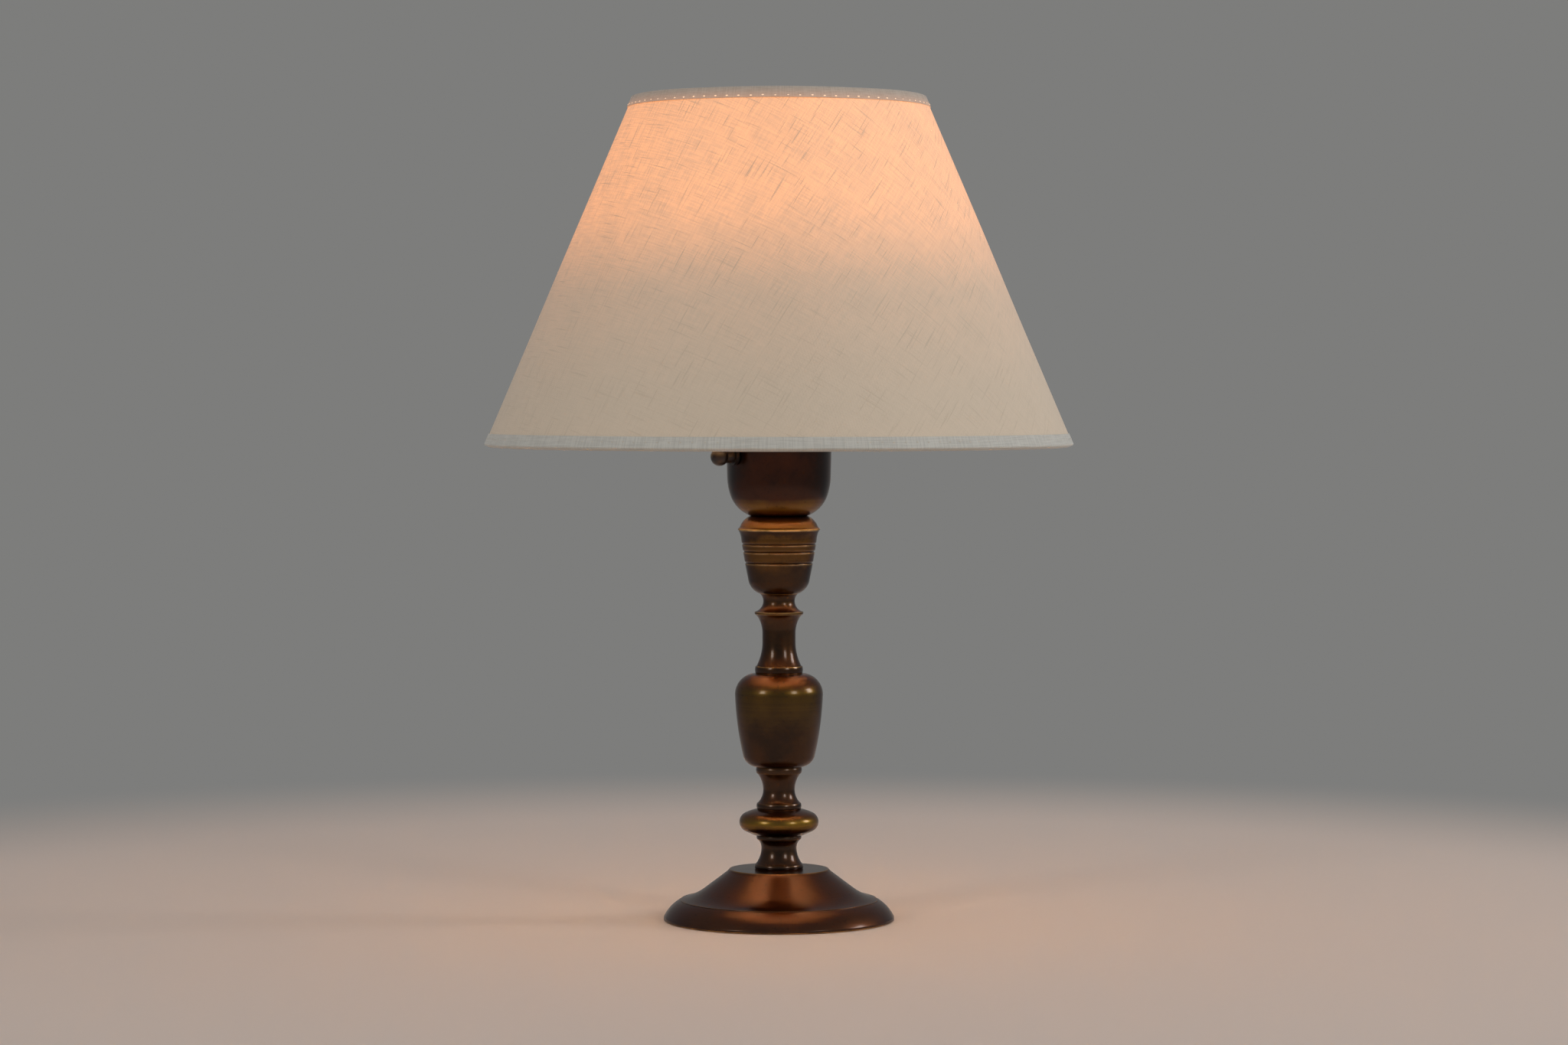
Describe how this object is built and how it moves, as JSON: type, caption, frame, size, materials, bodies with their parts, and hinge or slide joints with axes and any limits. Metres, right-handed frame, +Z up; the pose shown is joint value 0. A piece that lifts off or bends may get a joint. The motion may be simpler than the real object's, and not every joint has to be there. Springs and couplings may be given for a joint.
{
  "type": "candlestick table lamp",
  "caption": "Turned candlestick table lamp on a round foot, with a switched lamp holder in a spun cup and a conical linen shade on a wire fitter.",
  "frame": {"origin": "centre of the underside of the felt, on the lamp axis", "axes": "+Z up along the turned column, -Y towards the front, the switch knob points to the left of the front, the cord inlet faces +Y"},
  "size_m": [0.3492, 0.3492, 0.489],
  "materials": {
    "felt": "matt felt",
    "patinated_brass": "dark bronze patina, satin lacquer",
    "black_plastic": "matt",
    "iron": "as cast",
    "steel": "zinc plated",
    "bakelite": "moulded, low gloss",
    "contact_brass": "bright",
    "porcelain": "unglazed white",
    "nickel_cap": "satin",
    "white_plastic": "satin white",
    "board_aluminium": "matt",
    "opal_plastic": "opal",
    "white_steel": "white paint",
    "shade_laminate": "smooth translucent sheet",
    "linen": "plain weave with slubs"
  },
  "bodies": {
    "stand": {"felt_pad": "felt", "base_shell": "patinated_brass", "cord_bush": "black_plastic", "ballast_disc": "iron", "base_washer": "steel", "base_nut": "steel", "tie_rod": "steel", "lower_spool": "patinated_brass", "lower_knop": "patinated_brass", "middle_spool": "patinated_brass", "vase_body": "patinated_brass", "trumpet_neck": "patinated_brass", "candle_cup": "patinated_brass", "drip_ring": "patinated_brass", "socket_cup": "patinated_brass", "cup_lock_nut": "steel", "holder_cap": "bakelite", "holder_grub_screw": "steel", "switch_housing": "bakelite", "terminals": "contact_brass", "terminal_screws": "steel", "switch_neck": "bakelite", "switch_bezel": "bakelite", "switch_contacts": "contact_brass", "porcelain_core": "porcelain", "centre_contact": "contact_brass", "threaded_barrel": "bakelite", "screw_shell": "contact_brass", "lower_shade_ring": "bakelite", "upper_shade_ring": "bakelite"},
    "switch": {"switch_shaft": "steel", "switch_cam": "bakelite", "switch_knob": "bakelite"},
    "shade": {"fitter_ring": "white_steel", "fitter_arms": "white_steel", "bottom_wire": "white_steel", "top_wire": "white_steel", "shade_liner": "shade_laminate", "shade_linen": "linen", "bottom_trim": "linen", "top_trim": "linen"},
    "bulb": {"bulb_contact": "contact_brass", "bulb_insulator": "black_plastic", "bulb_cap": "nickel_cap", "bulb_housing": "white_plastic", "led_board": "board_aluminium", "bulb_dome": "opal_plastic"}
  },
  "joints": [
    {"name": "switch_turn", "type": "hinge", "parent": "stand", "child": "switch", "pos_m": [0, 0, 0.276], "axis": [-0.8192, -0.5736, 0], "continuous": true},
    {"name": "shade_turn", "type": "hinge", "parent": "stand", "child": "shade", "pos_m": [0, 0, 0.30108], "axis": [0, 0, 1], "continuous": true},
    {"name": "bulb_lift", "type": "slide", "parent": "stand", "child": "bulb", "axis": [0, 0, 1], "range_m": [0, 0.206]}
  ]
}
